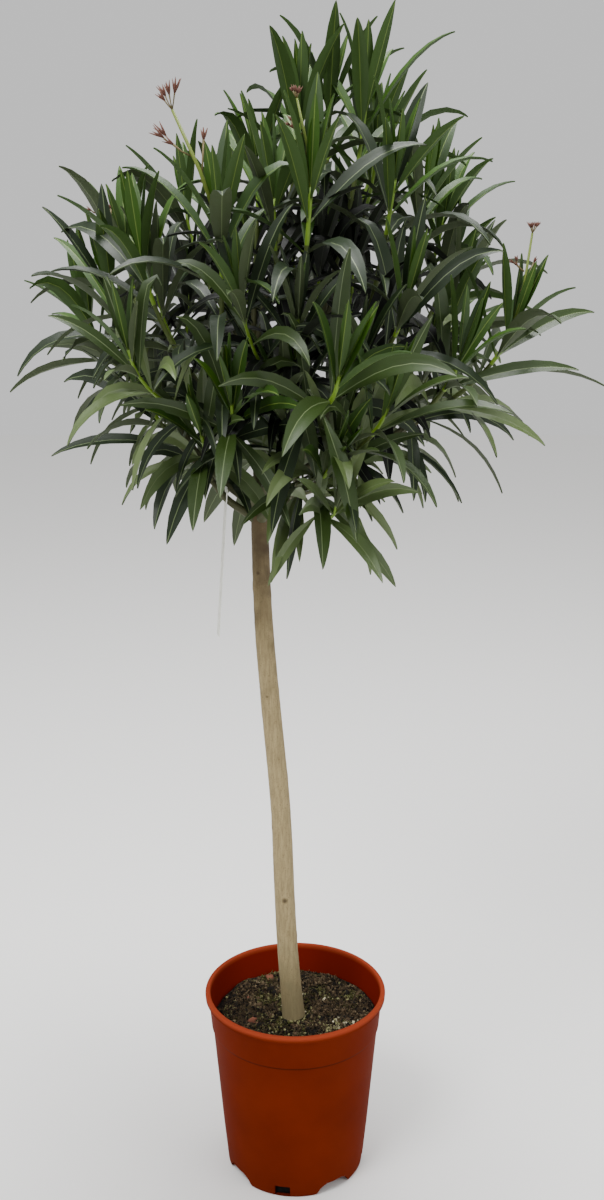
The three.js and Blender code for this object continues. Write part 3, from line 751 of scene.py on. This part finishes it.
# The same rule as the solids: each head has one bough, three shoots on it and leaves in threes.
# Here every second shoot also carries a side shoot, apart from the bare heads named below, and every
# joint has its leaves. A shoot ends at a bearing in degrees, a distance from the pot's axis and a height,
# then come its last leafy joint and its seed. These ends and seeds are fitted values, as in the solids.
growth = {
    "heads": {
        "low_left": [(237, 0.168, 0.936, 8, 6869), (197, 0.161, 0.957, 6, 5999),
                     (146, 0.219, 1.002, 7, 3692)],
        "front_low": [(281, 0.176, 0.907, 7, 3733), (295, 0.212, 0.970, 9, 4639),
                      (267, 0.143, 0.971, 6, 1936)],
        "back_low": [(68, 0.131, 0.933, 8, 6076), (104, 0.205, 0.874, 6, 1474),
                     (109, 0.264, 0.967, 6, 7818)],
        "right_low": [(347, 0.232, 1.034, 8, 8832), (327, 0.198, 1.005, 7, 5957),
                      (11, 0.181, 1.055, 8, 4418)],
        "left": [(197, 0.198, 1.075, 8, 1583), (161, 0.197, 1.113, 6, 1564),
                 (165, 0.240, 1.043, 9, 1538)],
        "front_left": [(248, 0.182, 1.138, 8, 6144), (253, 0.200, 0.973, 7, 1824),
                       (220, 0.193, 1.105, 7, 3324)],
        "right_back": [(39, 0.230, 1.092, 8, 3820), (44, 0.240, 1.023, 8, 629),
                       (43, 0.238, 1.148, 8, 3919)],
        "front": [(276, 0.158, 1.172, 8, 4306), (280, 0.242, 1.005, 8, 21),
                  (259, 0.100, 1.162, 8, 4615)],
        "back": [(77, 0.215, 1.140, 8, 5713), (115, 0.194, 1.158, 7, 7446),
                 (61, 0.191, 1.226, 6, 2437)],
        "upper_right": [(322, 0.127, 1.180, 9, 6802), (13, 0.144, 1.166, 6, 7164),
                        (308, 0.177, 1.065, 8, 7052)],
        "upper_left": [(80, 0.039, 1.248, 7, 7257), (127, 0.065, 1.202, 7, 1420),
                       (136, 0.170, 1.150, 7, 7954)],
        "top": [(14, 0.077, 1.259, 6, 2048), (57, 0.071, 1.265, 7, 5480),
                (47, 0.132, 1.208, 7, 250)],
    },
    "lowRoot": 0.776,
    "rootSpacing": 0.0066,
    "firstFall": 3,
    "fallShare": 0.08,
    "boughRadius": 0.0049,
    "boughTip": 0.0039,
    "boughCollar": 0.0022,  # how much thicker a bough is where it leaves the stem
    "boughRings": 19,
    "boughSides": 14,
    "boughShare": 0.42,
    "boughClimb": 0.26,
    "shootRadius": 0.0038,
    "shootTip": 0.0019,
    "shootSteps": 26,
    "shootRise": 1.9,
    "forkAt": 0.014,
    "forkRadii": (0.0037, 0.0038, 0.0034),
    "gap": 0.0003,
    "sideAt": 0.22,  # where a side shoot leaves, as a share of its shoot
    "sideLength": 0.115,
    "sideRadius": 0.0023,
    "sideTip": 0.0014,
    "sideSteps": 10,
    "sideLastJoint": 6,
    "sideLeafShare": 0.85,
    "bareHeads": ("low_left", "right_low", "back_low", "right_back"),  # these have no side shoots
}
leafSize = {
    "full": 0.142,
    "width": 0.150,
    "narrowing": 0.005,
    "firstSpacing": 0.012,
    "addedSpacing": 0.008,
    "mostSpacing": 0.036,
    "firstAngle": 10,
    "addedAngle": 17,
    "mostAngle": 68,
    "bearingSpread": 40,
    "angleSpread": 28,
    "rollSpread": 36,
    "lift": 0.22,
    "firstDroop": 0.03,
    "addedDroop": 0.42,
    "mostDroop": 2.0,
    "droopPower": 1.9,
    "shortening": 0.035,
    "stations": (0, 0.05, 0.13, 0.25, 0.39, 0.53, 0.67, 0.80, 0.91, 0.97, 1),
    "outline": (0.11, 0.14, 0.34, 0.68, 0.93, 1.0, 0.92, 0.71, 0.40, 0.19, 0.03),
    "fold": 0.30,
    "ribShare": 0.3,
    "ribWidth": 0.0004,
    "thickness": 0.0006,
    "pastBox": 0.002,  # a leaf that would reach farther past the solids' box is left out
}
down = np.array([0, 0, -1.0])


def onCylinder(bearing, out, height):
    angle = math.radians(bearing)
    return np.array([out * math.cos(angle), out * math.sin(angle), height])


# A cubic curve by its four handles: points at shares of its length, with directions.
class Reach:
    def __init__(self, p0, p1, p2, p3):
        self.handles = [np.asarray(p, float) for p in (p0, p1, p2, p3)]
        fine = np.linspace(0, 1, 201)
        lengths = np.linalg.norm(np.diff(self.at(fine), axis=0), axis=1)
        self.fine = fine
        self.lengths = np.concatenate([[0], np.cumsum(lengths)])
        self.length = self.lengths[-1]

    def at(self, t):
        t = np.atleast_1d(t)[:, None]
        a, b, c, d = self.handles
        return (1 - t) ** 3 * a + 3 * (1 - t) ** 2 * t * b + 3 * (1 - t) * t * t * c + t ** 3 * d

    def along(self, t):
        t = np.atleast_1d(t)[:, None]
        a, b, c, d = self.handles
        return unit(3 * (1 - t) ** 2 * (b - a) + 6 * (1 - t) * t * (c - b) + 3 * t * t * (d - c))

    def shareAt(self, distance):
        return float(np.interp(distance, self.lengths, self.fine))


def boughPath(tips, index):
    g = growth
    height = g["lowRoot"] + g["rootSpacing"] * index
    t = (height - soilSize["top"]) / (fork[2] - soilSize["top"])
    start = stemAt(min(t, 0.995))
    mean = sum(tips) / len(tips)
    end = start + (mean - start) * np.array([g["boughShare"], g["boughShare"], g["boughClimb"]])
    reach = end - start
    length = np.linalg.norm(reach)
    heading = np.array([reach[0], reach[1], 0])
    first = start + heading * 0.4 - down * length * 0.3
    rise = unit(mean - start)
    return Reach(start, first, end - rise * length * 0.4, end)


def shootPath(start, heading, tip):
    span = np.linalg.norm(tip - start)
    rise = growth["shootRise"] * min(1, max(0.35, (tip[2] - 0.86) / 0.2))
    finish = unit(unit(tip - fork) - down * rise)
    return Reach(start, start + heading * span * 0.33, tip - finish * span * 0.36, tip)


# Where a shoot's leaves stand, drawn in the same order as for the solids. Some old ones have fallen.
def leafPlaces(path, seed, lastJoint, older, share=1.0):
    s = leafSize
    random = seededRandom(seed)
    turn = random() * 360
    back = 0.002
    places = []
    for joint in range(lastJoint + 1):
        if joint > 0:
            back += min(s["mostSpacing"], s["firstSpacing"] + s["addedSpacing"] * (joint - 1)) * share
        for k in range(3):
            draws = [random() for _ in range(5)]
            fallen = (draws[0] + draws[2]) % 1 < growth["fallShare"] * (joint - growth["firstFall"])
            if back > path.length - 0.006 or fallen:
                continue
            t = path.shareAt(path.length - back)
            angle = min(s["firstAngle"] + s["addedAngle"] * joint, s["mostAngle"])
            grown = min(1, 0.55 + 0.22 * joint) * (1 - s["shortening"] * joint)
            places.append({
                "age": joint + leafTones["ageSpread"] * (draws[2] - 0.5) + older,
                "root": path.at(t)[0],
                "axis": path.along(t)[0],
                "bearing": math.radians(turn + 60 * joint + 120 * k + s["bearingSpread"] * (draws[0] - 0.5)),
                "angle": math.radians(angle + s["angleSpread"] * (draws[1] - 0.5)),
                "length": s["full"] * grown * (0.84 + 0.28 * draws[2]) * share,
                "droop": min(s["firstDroop"] + s["addedDroop"] * joint, s["mostDroop"]) * (0.5 + draws[3]),
                "roll": math.radians(s["rollSpread"] * (draws[4] - 0.5)),
                "width": (s["width"] - s["narrowing"] * joint) * (0.85 + 0.3 * draws[3]),
                "chance": draws[2],
            })
    return places


# The leaves of one head as arrays: each is a closed blade with a groove along its midrib.
def leafBlades(places):
    s = leafSize
    stations = np.array(s["stations"])
    count = len(places)
    root = np.array([p["root"] for p in places])
    axis = np.array([p["axis"] for p in places])
    bearing, angle, length, droop, roll, width = [
        np.array([p[key] for p in places])[:, None]
        for key in ("bearing", "angle", "length", "droop", "roll", "width")]
    across = np.where(np.abs(axis[:, :1]) > 0.9, np.array([[0, 1.0, 0]]), np.array([[1.0, 0, 0]]))
    first = unit(across - axis * (across * axis).sum(1, keepdims=True))
    second = np.cross(axis, first)
    outward = first * np.cos(bearing) + second * np.sin(bearing)
    start = unit(axis * np.cos(angle) + outward * np.sin(angle) - down * s["lift"])
    side = np.cross(axis, outward)
    side = unit(side - start * (side * start).sum(1, keepdims=True))
    side = side * np.cos(roll) + np.cross(start, side) * np.sin(roll)
    points = [root]
    for a, b in zip(stations, stations[1:]):
        heading = unit(start + down * droop * ((a + b) / 2) ** s["droopPower"])
        points.append(points[-1] + heading * length * (b - a))
    spine = np.stack(points, axis=1)  # leaf, station, xyz
    along = unit(np.gradient(spine, axis=1))
    across = unit(side[:, None] - along * (side[:, None] * along).sum(2, keepdims=True))
    normal = np.cross(across, along)
    normal = np.where((normal * axis[:, None]).sum(2, keepdims=True) < 0, -normal, normal)
    across = np.cross(along, normal)
    half = (length * width / 2)[:, :, None] * np.array(s["outline"])[None, :, None]
    rib = np.minimum(half * s["ribShare"], s["ribWidth"])
    thick = s["thickness"]
    fold = s["fold"]

    def row(share, lift, ribbed=0.0):
        return spine + across * (half * share + rib * ribbed) + normal * (half * abs(share) * fold + lift)
    rows = [row(-1, 0), row(-0.55, 0.0001), row(0, 0.0, -1), row(0, 0.0, 1), row(0.55, 0.0001), row(1, 0),
            row(0.55, -thick), row(0, -thick * 2.2, 0.9), row(0, -thick * 2.2, -0.9), row(-0.55, -thick)]
    corners = np.stack(rows, axis=2)  # leaf, station, row, xyz
    rowsEach, stationsEach = len(rows), len(stations)
    grid = np.arange(stationsEach * rowsEach).reshape(stationsEach, rowsEach)
    faces = []
    parts = []  # 0 blade, 1 midrib, 2 underside
    for i in range(stationsEach - 1):
        for k in range(rowsEach):
            nextK = (k + 1) % rowsEach
            faces.append([grid[i, k], grid[i + 1, k], grid[i + 1, nextK], grid[i, nextK]])
            parts.append(1 if k in (2, 7) or i == 0 else 0 if k < 5 else 2)
    ends = [list(grid[0]), list(grid[-1])[::-1]]
    return corners.reshape(count, -1, 3), np.array(faces), np.array(parts), ends


# Leathery evergreen leaves. The upper side is dark green with a soft shine, the underside paler and
# dull, and the midrib is a pale line. The tone of a whole leaf goes by its age, its shoot's height and
# how deep in the crown it grows: the leaves deep inside are painted darker, as painted shade.
leafTones = {
    # three young tones, three of old leaves, then painted shade: the deepest inside and those round them
    "upper": ["2c4a06", "213a08", "27390f", "4d5e31", "43542b", "58683c", "050803", "16240d"],
    "shine": [0.3, 0.3, 0.36, 0.42, 0.42, 0.42, 0.14, 0.28],
    # the last rib and the last underside are painted shade, for the deepest leaves
    "rib": ["5a6f28", "5c6a45", "2a3520"],  # on young leaves, on old ones and on the deepest
    "under": ["304818", "3a452a", "12180b"],
    "crownMiddle": np.array([-0.01, 0, 1.03]),
    "crownReach": np.array([0.31, 0.31, 0.27]),
    "deepest": 0.44,  # as a share of the way out of the crown
    "deep": 0.59,
    "deepAge": 1.2,
    "ages": (0.9, 2.2, 3.6),
    "depthSpread": 0.16,
    "ageSpread": 2.2,  # ages are counted in joints, here and below
    "shootSpread": 1.2,
    "youngerUp": 9,  # for each metre above evenHeight
    "evenHeight": 1.07,
    "sideOlder": 2.1,
}
deepestShadeTone = 6
deepShadeTone = 7


def leafMaterial(name, colour, roughness, specular):
    mat, tree, shader, place = newMaterial(name, colour, roughness, specular)
    veins = noiseNode(tree, place, 520, 3, 0.6)  # about 2 mm
    gloss = rangeNode(tree, veins, 0, 1, roughness - 0.08, roughness + 0.1)
    tree.links.new(gloss, shader.inputs["Roughness"])
    addBump(tree, shader, veins, 0.18, 0.0005)
    return mat


leafMaterials = [leafMaterial(f"leafUpper{i}", c, 0.44, shine)
                 for i, (c, shine) in enumerate(zip(leafTones["upper"], leafTones["shine"]))]
leafMaterials += [leafMaterial(f"leafMidrib{i}", c, 0.5, 0.4) for i, c in enumerate(leafTones["rib"])]
leafMaterials += [leafMaterial(f"leafUnderside{i}", c, 0.6, 0.3) for i, c in enumerate(leafTones["under"])]


def toneOf(place):
    tones = leafTones
    chance, age = place["chance"], place["age"]
    inward = (place["root"] - tones["crownMiddle"]) / tones["crownReach"]
    depth = np.linalg.norm(inward) - tones["depthSpread"] * (chance - 0.5)
    # painted shade: leaves rooted deep in the crown take the darkest tones
    if depth < tones["deepest"]:
        return deepestShadeTone
    if depth < tones["deep"] and age > tones["deepAge"]:
        return deepShadeTone
    for tone, oldest in enumerate(tones["ages"]):
        if age < oldest:
            return tone
    return 3 + int(chance * 997) % 3


def makeLeaves(name, places):
    corners, faces, parts, ends = leafBlades(places)
    low, high = np.array(cadBox)
    margin = leafSize["pastBox"]
    keep = np.all((corners > low - margin) & (corners < high + margin), axis=(1, 2))
    corners = corners[keep]
    count, each = corners.shape[:2]
    offsets = np.arange(count) * each
    quads = (faces[None] + offsets[:, None, None]).reshape(-1, 4).tolist()
    tones = np.array([toneOf(place) for place, inside in zip(places, keep) if inside])
    ribs = np.array([0 if t < 2 else 2 if t == deepestShadeTone else 1 for t in tones])
    ribKinds = len(leafTones["upper"]) + ribs
    underKinds = ribKinds + len(leafTones["rib"])
    lower = np.where(parts == 1, ribKinds[:, None], underKinds[:, None])
    kinds = np.where(parts == 0, tones[:, None], lower)
    caps = [[int(i + o) for i in end] for o in offsets for end in ends]
    allKinds = np.concatenate([kinds.ravel(), np.repeat(ribKinds, 2)]).astype(np.int32)
    return meshOf(name, corners.reshape(-1, 3), quads + caps, allKinds), count


# Green wood: olive and slightly rough low down, bright yellow-green and smooth at the growing tips.
woodTones = {"bough": "3a3c1f", "shoot": "3f4c18", "tip": "66851f"}


def greenWood(name, colour, roughness):
    mat, tree, shader, place = newMaterial(name, colour, roughness, 0.4)
    addBump(tree, shader, noiseNode(tree, place, 400, 4), 0.3, 0.0004)  # grain of 2 to 3 mm
    return mat


woodMaterials = [greenWood("greenBoughBark", woodTones["bough"], 0.7),
                 greenWood("shootSkin", woodTones["shoot"], 0.55),
                 greenWood("shootTipSkin", woodTones["tip"], 0.45)]


# A shoot's points and radii, a little swollen at each joint.
def addShoot(heap, path, radius, tipRadius, steps, oldest):
    t = np.linspace(0, 1, steps + 1)
    radii = radius + (tipRadius - radius) * t
    radii *= 1 + 0.07 * np.sin(t * steps * 2.1)
    kinds = [min(2, oldest + (1 if share > 0.45 else 0) + (1 if share > 0.80 else 0)) for share in t[:-1]]
    addLimb(heap, path.at(t), radii, 8, kinds)


# A side shoot that leaves near a shoot's foot and turns up at its end.
def sideShoot(path, seed):
    g = growth
    random = seededRandom(seed)
    t = path.shareAt(path.length * (g["sideAt"] + 0.08 * (random() - 0.5)))
    root = path.at(t)[0]
    axis = path.along(t)[0]
    turn = random() * 2 * math.pi
    first = unit(np.cross(axis, np.array([0.2, 0.1, 1.0])))
    out = first * math.cos(turn) + np.cross(axis, first) * math.sin(turn)
    heading = unit(axis * 0.75 + out * 0.65)
    reach = g["sideLength"] * (0.8 + 0.5 * random())
    tip = root + unit(heading - down * 0.35) * reach
    last = tip + down * reach * 0.32 - heading * reach * 0.1
    return Reach(root, root + heading * reach * 0.35, last, tip)


# The leaf places of one shoot and of the side shoot that it may carry.
def leafyShoot(shoot, tip, joints, seed, hasSide):
    g = growth
    tones = leafTones
    older = tones["shootSpread"] * (seededRandom(seed * 13)() - 0.5)
    older -= tones["youngerUp"] * (tip[2] - tones["evenHeight"])
    addShoot(twigHeap, shoot, g["shootRadius"], g["shootTip"], g["shootSteps"], 0)
    places = leafPlaces(shoot, seed, joints, older)
    if hasSide:
        side = sideShoot(shoot, seed * 5 + 1)
        addShoot(twigHeap, side, g["sideRadius"], g["sideTip"], g["sideSteps"], 1)
        older += tones["sideOlder"]
        places += leafPlaces(side, seed * 3, g["sideLastJoint"], older, g["sideLeafShare"])
    return places


# One head: its bough, the short stem that forks into three shoots, and all their leaves.
def growHead(name, ends, index):
    g = growth
    tips = [onCylinder(*end[:3]) for end in ends]
    path = boughPath(tips, index)
    t = np.linspace(0.04, 1, g["boughRings"])
    collar = g["boughCollar"] * np.exp(-(t - 0.04) * 14)
    radii = g["boughRadius"] + (g["boughTip"] - g["boughRadius"]) * t + collar
    addLimb(boughHeap, path.at(t), radii, g["boughSides"], [0] * (g["boughRings"] - 1))
    heading = path.along(1)[0]
    start = path.at(1)[0] + heading * g["gap"]
    split = start + heading * g["forkAt"]
    addLimb(twigHeap, [start - heading * 0.002, start, split], g["forkRadii"], 10, [0, 0])
    places = []
    for k, (tip, (*_, joints, seed)) in enumerate(zip(tips, ends)):
        shootPaths[name, k] = shootPath(split, heading, tip)
        hasSide = name not in g["bareHeads"] and (k + index) % 2 == 1
        places += leafyShoot(shootPaths[name, k], tip, joints, seed, hasSide)
    mesh, count = makeLeaves("leaves_" + name, places)
    pieceName = "leaves" + "".join(word.capitalize() for word in name.split("_"))
    finishPiece(pieceName, mesh, leafMaterials, ["leaves_" + name], sharpAngle=70)
    return count


boughHeap = Heap()
twigHeap = Heap()
shootPaths = {}
heads = growth["heads"]
leafTotal = sum(growHead(name, ends, index) for index, (name, ends) in enumerate(heads.items()))
finishPiece("boughs", boughHeap.mesh("boughs"), woodMaterials, ["bough_" + name for name in heads])
finishPiece("twigs", twigHeap.mesh("twigs"), woodMaterials, ["leaves_" + name for name in heads])
print("leaves made:", leafTotal)

# Faded flowers: a yellow-green stalk with brown side stalks, each ending in a crown of dry
# red-brown sepals. Each stalk names its head and shoot, how far it reaches from the shoot's tip, a
# fitted value like the shoots' ends, and the size of its flowers, small where they are still buds.
stalkSize = {
    "stalks": [("front_left", 0, (-0.042, 0.000, 0.101), 1.0), ("left", 1, (-0.035, 0.000, 0.053), 0.5),
               ("right_low", 0, (0.016, 0.000, 0.095), 0.5), ("front", 0, (-0.013, 0.000, 0.078), 0.5)],
    "radius": 0.0021,
    "tipRadius": 0.0015,
    "sideRadius": 0.0009,
    "forkAt": 0.4,
    "forkShare": 0.6,
    "pedicel": 0.014,
    "pedicelRadius": 0.0006,
    "sepals": 5,
    "sepalLength": 0.0125,
    "sepalRadius": 0.0011,
    "seed": 5,
    "colours": {"stalk": "66752a", "pedicel": "5c502c", "sepal": "5c382b"},
}


def makeStalks():
    s = stalkSize
    heap = Heap()
    rng = np.random.default_rng(s["seed"])

    def addCalyx(base, heading, size):
        first = unit(np.cross(heading, np.array([0.1, 1.0, 0.2])))
        second = np.cross(heading, first)
        for j in range(s["sepals"]):
            angle = 2 * math.pi * (j + 0.3 * rng.random()) / s["sepals"]
            spread = unit(heading + 0.34 * (first * math.cos(angle) + second * math.sin(angle)))
            length = s["sepalLength"] * (0.75 + 0.4 * rng.random()) * size
            points = [base - heading * 0.001, base + spread * length * 0.45, base + spread * length]
            radius = s["sepalRadius"] * (0.5 + 0.5 * size)
            addLimb(heap, points, [radius * 0.6, radius, radius * 0.2], 5, [2, 2])

    def addPedicel(base, heading, length, size, radius):
        end = base + heading * length
        bend = base + heading * length * 0.5 + down * length * 0.06
        addLimb(heap, [base, bend, end], [radius, radius * 0.9, radius * 1.3], 6, [1, 1])
        addCalyx(end, heading, size)
        return end

    def addUmbel(base, heading, count, size):
        turn = rng.random() * fullTurn
        for j in range(count):
            angle = turn + 2 * math.pi * j / count
            lean = np.array([math.cos(angle), 0.6 * math.sin(angle), 0])
            length = s["pedicel"] * (0.6 + 0.5 * rng.random()) * size
            spread = unit(heading + lean * 0.6 - down * 0.2)
            addPedicel(base, spread, length, size * (0.8 + 0.3 * rng.random()), s["pedicelRadius"])

    for name, k, reach, size in s["stalks"]:
        path = shootPaths[name, k]
        reach = np.array(reach)
        tip = path.at(1)[0]
        foot = tip - path.along(1)[0] * 0.005
        top = tip + reach
        split = foot + (top - foot) * s["forkAt"]
        length = np.linalg.norm(reach)
        along = unit(reach)
        bend = (foot + top) / 2 + np.array([0.003, 0, 0])
        radius = s["radius"] * (0.5 + 0.5 * size)
        tipRadius = s["tipRadius"] * (0.5 + 0.5 * size)
        addLimb(heap, [foot, bend, top], [radius, radius * 0.9, tipRadius], 8, [0, 0])
        addUmbel(top, along, 4, size)
        branch = unit(along + np.array([0.45, 0.3, 0.3]))
        addPedicel(split, branch, length * (1 - s["forkAt"]) * s["forkShare"], size, s["sideRadius"])
        low = foot + (top - foot) * 0.62
        left = unit(along * 0.4 + np.array([-0.9, -0.1, 0.3]))
        addUmbel(addPedicel(low, left, 0.019 * size, size * 0.8, s["sideRadius"]), left, 2, size)
    return heap


stalkMaterials = [greenWood(name, stalkSize["colours"][part], roughness) for name, part, roughness in (
    ("flowerStalkSkin", "stalk", 0.5), ("pedicelSkin", "pedicel", 0.6), ("drySepal", "sepal", 0.7))]
finishPiece("flowerStalks", makeStalks().mesh("flowerStalks"), stalkMaterials,
            ["leaves_" + name for name, *_ in stalkSize["stalks"]])
print("flower stalks made")


# A bare strip of thin white polypropylene, matt, and a little dusty.
labelTones = {"strip": "dfe0d6", "dusty": "d2d3c6", "clean": "e6e6dd"}


def labelPlastic():
    mat, tree, shader, place = newMaterial("whitePolypropyleneStrip", labelTones["strip"], 0.5)
    dust = noiseNode(tree, place, 120, 4)  # clouds of dust about 8 mm across
    tone = colourRamp(tree, [(0.3, labelTones["dusty"]), (0.6, labelTones["clean"])], dust)
    tree.links.new(tone, shader.inputs["Base Color"])
    return mat


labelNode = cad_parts["label"]
labelNode.data.materials.clear()
labelNode.data.materials.append(labelPlastic())
print("label finished")

# The studio: a plain pale floor, an even white sky and three soft lamps.
studio = {
    "floor": 6.0,
    "floorColour": "f4f3f1",
    "sky": 0.75,
    # place, the point it aims at, size and power
    "lamps": {
        "keyLight": ((-1.2, -1.6, 3.1), (0, 0, 0.9), 1.4, 80),
        "fillLight": ((2.2, -1.4, 1.5), (0, 0, 0.8), 1.8, 20),
        "topLight": ((0.2, 0.3, 3.2), (0, 0, 1.0), 1.6, 100),
    },
    "cameraPlace": (0.0082, -1.5, 1.144),
    "cameraPitch": 15.5,
    "lens": 41.35,
    "sensor": 36,
}
bm = bmesh.new()
bmesh.ops.create_grid(bm, x_segments=2, y_segments=2, size=studio["floor"])
floor = addObject("floor", meshFrom(bm, "floor"))
floor.data.materials.append(newMaterial("paleFloor", studio["floorColour"], 0.8)[0])

world = bpy.data.worlds.new("softSky")
scene.world = world
world.use_nodes = True
sky = world.node_tree.nodes["Background"]
sky.inputs["Color"].default_value = (1, 1, 1, 1)
sky.inputs["Strength"].default_value = studio["sky"]


def addSoftLight(name, place, aim, size, power):
    data = bpy.data.lights.new(name, "AREA")
    data.shape = "DISK"
    data.size = size
    data.energy = power
    lamp = addObject(name, data)
    lamp.location = place
    lamp.rotation_euler = (Vector(aim) - Vector(place)).to_track_quat("-Z", "Y").to_euler()


for name, lamp in studio["lamps"].items():
    addSoftLight(name, *lamp)

camera = addObject("camera", bpy.data.cameras.new("camera"))
camera.location = studio["cameraPlace"]
camera.rotation_euler = (math.radians(90 - studio["cameraPitch"]), 0, 0)
camera.data.sensor_width = studio["sensor"]
camera.data.lens = studio["lens"]
scene.camera = camera
print("studio set")
